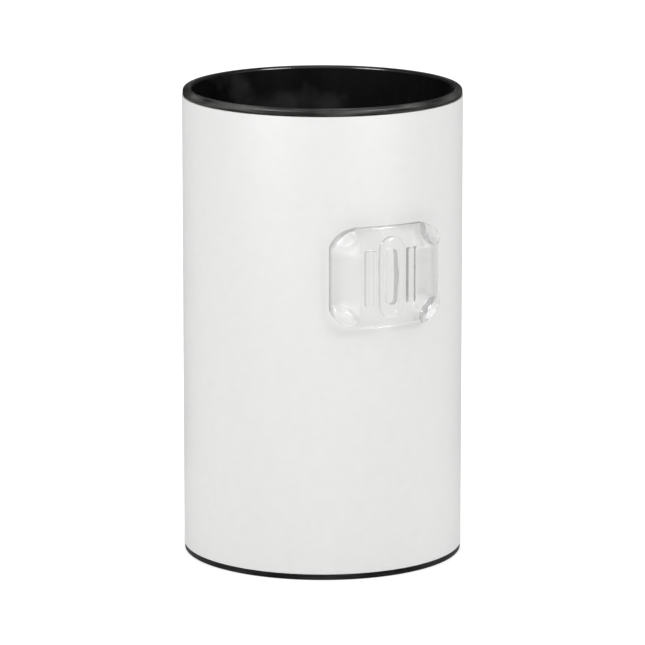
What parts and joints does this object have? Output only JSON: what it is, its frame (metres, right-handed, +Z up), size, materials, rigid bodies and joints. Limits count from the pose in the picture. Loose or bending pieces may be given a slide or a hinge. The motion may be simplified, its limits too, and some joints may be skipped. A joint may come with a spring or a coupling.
{
  "type": "fire blanket canister",
  "caption": "Open-topped round canister with a white sleeve, black rim and base and a clear front bracket, holding a rolled fire blanket with pull tapes.",
  "frame": {"origin": "centre of the underside, on the canister's axis", "axes": "+Z up along the canister's axis, -Y to the front; the bracket is on the front, to the +X side"},
  "size_m": [0.1, 0.106, 0.1683],
  "materials": {
    "black_moulding": "satin",
    "black_liner": "satin",
    "grey_board": "matte",
    "white_sleeve": "satin coated",
    "foam_pad": "matte",
    "clear_moulding": "clear gloss",
    "clear_bond": "clear satin",
    "glass_cloth": "woven",
    "webbing": "woven"
  },
  "bodies": {
    "canister": {"base_ring": "black_moulding", "rim_ring": "black_moulding", "floor_disc": "black_moulding", "floor_pad": "foam_pad", "core_tube": "grey_board", "outer_sleeve": "white_sleeve", "inner_liner": "black_liner", "bracket_plate": "clear_moulding", "bond_pad_1": "clear_bond", "bond_pad_2": "clear_bond", "bond_pad_3": "clear_bond", "bond_pad_4": "clear_bond"},
    "blanket": {"blanket_roll": "glass_cloth", "outer_tape_tail": "webbing", "inner_tape_tail": "webbing"},
    "outer_tape": {"outer_pull_tape": "webbing"},
    "inner_tape": {"inner_pull_tape": "webbing"}
  },
  "joints": [
    {"name": "blanket_lift", "type": "slide", "parent": "canister", "child": "blanket", "axis": [0, 0, 1], "range_m": [0, 0.17]},
    {"name": "outer_tape_turn", "type": "hinge", "parent": "blanket", "child": "outer_tape", "pos_m": [-0.0415, 0, 0.1298], "axis": [0, -1, 0], "range_deg": [0, 90]},
    {"name": "inner_tape_turn", "type": "hinge", "parent": "blanket", "child": "inner_tape", "pos_m": [0.0084, 0, 0.1298], "axis": [0, -1, 0], "range_deg": [0, 90]}
  ]
}
